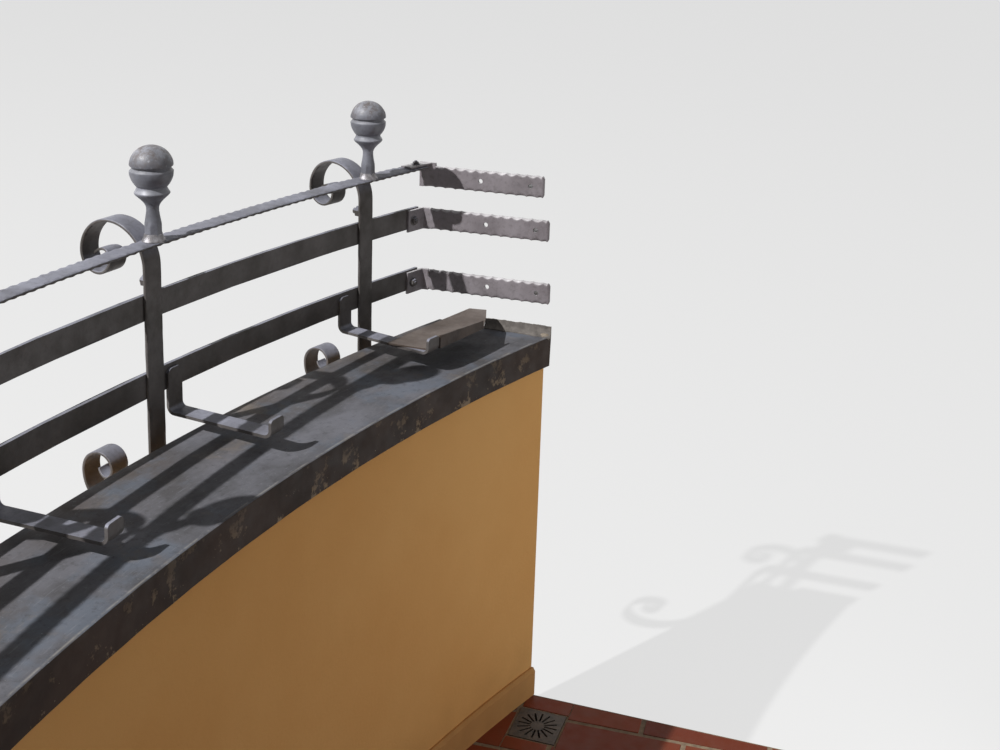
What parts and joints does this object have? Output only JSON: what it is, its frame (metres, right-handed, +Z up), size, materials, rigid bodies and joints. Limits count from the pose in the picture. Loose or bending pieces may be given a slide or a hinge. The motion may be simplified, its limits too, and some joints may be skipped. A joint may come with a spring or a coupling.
{
  "type": "curved balcony parapet with wrought iron railing",
  "caption": "Curved rendered balcony parapet on its slab, with metal coping and a forged flat bar railing with scrolls, ball finials, box brackets and wall straps.",
  "frame": {"origin": "middle of the parapet's wall end, on the plane of the house wall, at finished floor level", "axes": "+Z up, +Y into the house wall, +X along the wall from the parapet towards the door"},
  "size_m": [1.7531, 3.4126, 1.42],
  "materials": {
    "render": "fine trowelled and painted render, warm ochre",
    "slab_concrete": "rendered concrete edge",
    "tile": "red brown split tiles with pale joints",
    "coping_metal": "weathered dark sheet metal, brown where worn",
    "iron": "hammered wrought iron with grey metallic paint",
    "drain": "dull cast metal"
  },
  "bodies": {
    "root": {"slab": "slab_concrete", "tile_bed": "tile", "skirting": "render", "drain_grate": "drain", "parapet_1": "render", "parapet_2": "render", "parapet_3": "render", "parapet_4": "render", "parapet_5": "render", "parapet_6": "render", "coping_1": "coping_metal", "coping_2": "coping_metal", "coping_3": "coping_metal", "coping_upstand": "coping_metal", "handrail": "iron", "upper_rail": "iron", "lower_rail": "iron", "post_1": "iron", "post_2": "iron", "post_3": "iron", "post_4": "iron", "post_5": "iron", "post_6": "iron", "post_7": "iron", "scroll_1": "iron", "scroll_2": "iron", "scroll_3": "iron", "scroll_4": "iron", "scroll_5": "iron", "scroll_6": "iron", "scroll_7": "iron", "finial_1": "iron", "finial_2": "iron", "finial_3": "iron", "finial_4": "iron", "finial_5": "iron", "finial_6": "iron", "finial_7": "iron", "box_brackets": "iron", "box_rest": "iron", "wall_strap_low": "iron", "wall_strap_mid": "iron", "wall_strap_top": "iron"}
  },
  "joints": []
}
